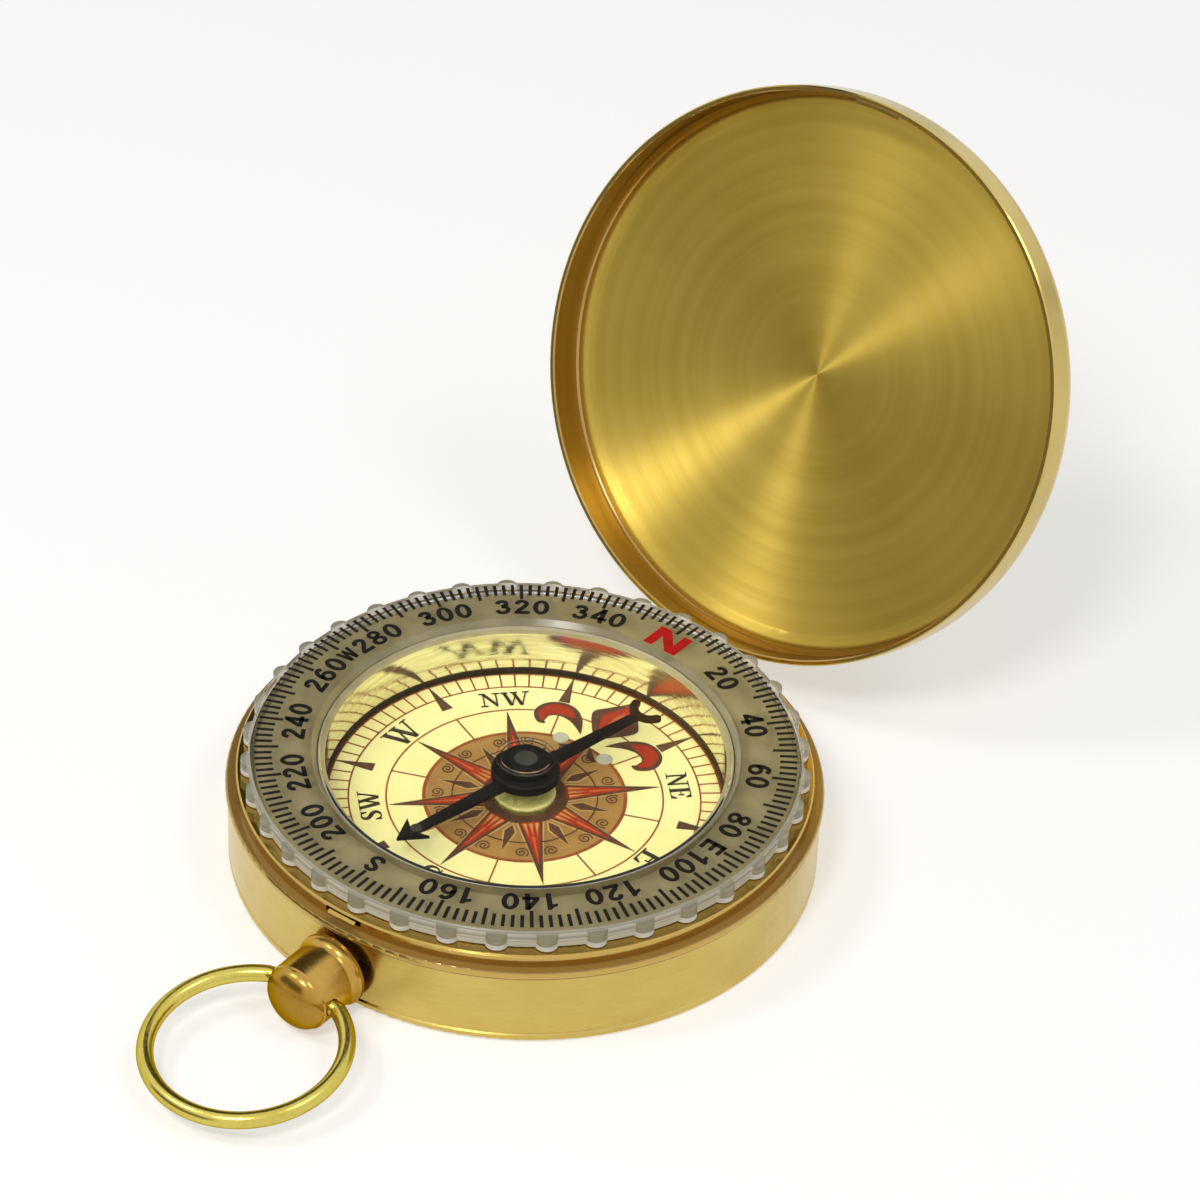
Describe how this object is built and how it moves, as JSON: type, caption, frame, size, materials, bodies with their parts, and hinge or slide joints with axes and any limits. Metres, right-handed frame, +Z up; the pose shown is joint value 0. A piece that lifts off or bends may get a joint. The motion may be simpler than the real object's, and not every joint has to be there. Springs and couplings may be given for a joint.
{
  "type": "pocket compass",
  "caption": "Round brass pocket compass with a hinged lid, clear turning degree bezel, printed card, free needle, push crown and bow ring.",
  "frame": {"origin": "middle of the case's base", "axes": "+Z up out of the dial, +Y towards the hinge, -Y towards the crown and bow"},
  "size_m": [0.05, 0.0955, 0.0508],
  "materials": {
    "case_brass": "satin brass",
    "lid_brass": "turned brass",
    "crown_brass": "polished brass",
    "bow_brass": "bright brass wire",
    "steel": "plain steel",
    "clear_bezel": "clear moulded acrylic",
    "clear_window": "clear acrylic",
    "jewel": "polished glass",
    "grey_ring": "satin grey",
    "polished_wall": "bright polished",
    "dark_seal": "matt",
    "dial_card": "printed card",
    "lume": "luminous paint",
    "pale_boss": "translucent plastic",
    "needle_black": "satin black",
    "capsule_plastic": "moulded plastic",
    "pad_foam": "soft foam"
  },
  "bodies": {
    "case": {"case_body": "case_brass", "case_back": "case_brass", "backing_pad": "pad_foam", "capsule_base": "capsule_plastic", "dial_plate": "dial_card", "dial_dots": "lume", "dial_gasket": "dark_seal", "well_ring": "polished_wall", "carrier_ring": "grey_ring", "snap_ring": "steel", "crystal": "clear_window", "pivot_boss": "pale_boss", "pivot_pin": "steel", "case_knuckles": "case_brass", "hinge_pin": "steel", "pendant_tube": "case_brass", "catch_spring": "case_brass", "catch_rivets": "case_brass"},
    "bezel": {"bezel_ring": "clear_bezel"},
    "needle": {"needle_blade": "needle_black", "needle_hub": "needle_black", "needle_jewel": "jewel", "needle_lume": "lume"},
    "lid": {"lid_shell": "lid_brass", "lid_knuckle": "lid_brass", "lid_catch_lip": "lid_brass"},
    "crown": {"crown_button": "crown_brass", "crown_stem": "steel", "crown_clip": "steel"},
    "bow": {"bow_ring": "bow_brass"}
  },
  "joints": [
    {"name": "lid_hinge", "type": "hinge", "parent": "case", "child": "lid", "pos_m": [0, 0.02525, 0.00559], "axis": [1, 0, 0], "range_deg": [0, 113.7], "deforming": ["catch_spring"]},
    {"name": "bezel_turn", "type": "hinge", "parent": "case", "child": "bezel", "pos_m": [0, 0, 0.009], "axis": [0, 0, 1], "continuous": true},
    {"name": "needle_turn", "type": "hinge", "parent": "case", "child": "needle", "pos_m": [0, 0, 0.0077], "axis": [0, 0, 1], "continuous": true},
    {"name": "crown_press", "type": "slide", "parent": "case", "child": "crown", "axis": [0, 1, 0], "range_m": [0, 0.00045], "stiffness_N_per_m": 800, "deforming": ["catch_spring"]},
    {"name": "bow_swing", "type": "hinge", "parent": "crown", "child": "bow", "pos_m": [0, -0.029, 0.00335], "axis": [-1, 0, 0], "range_deg": [-105, 105]}
  ]
}
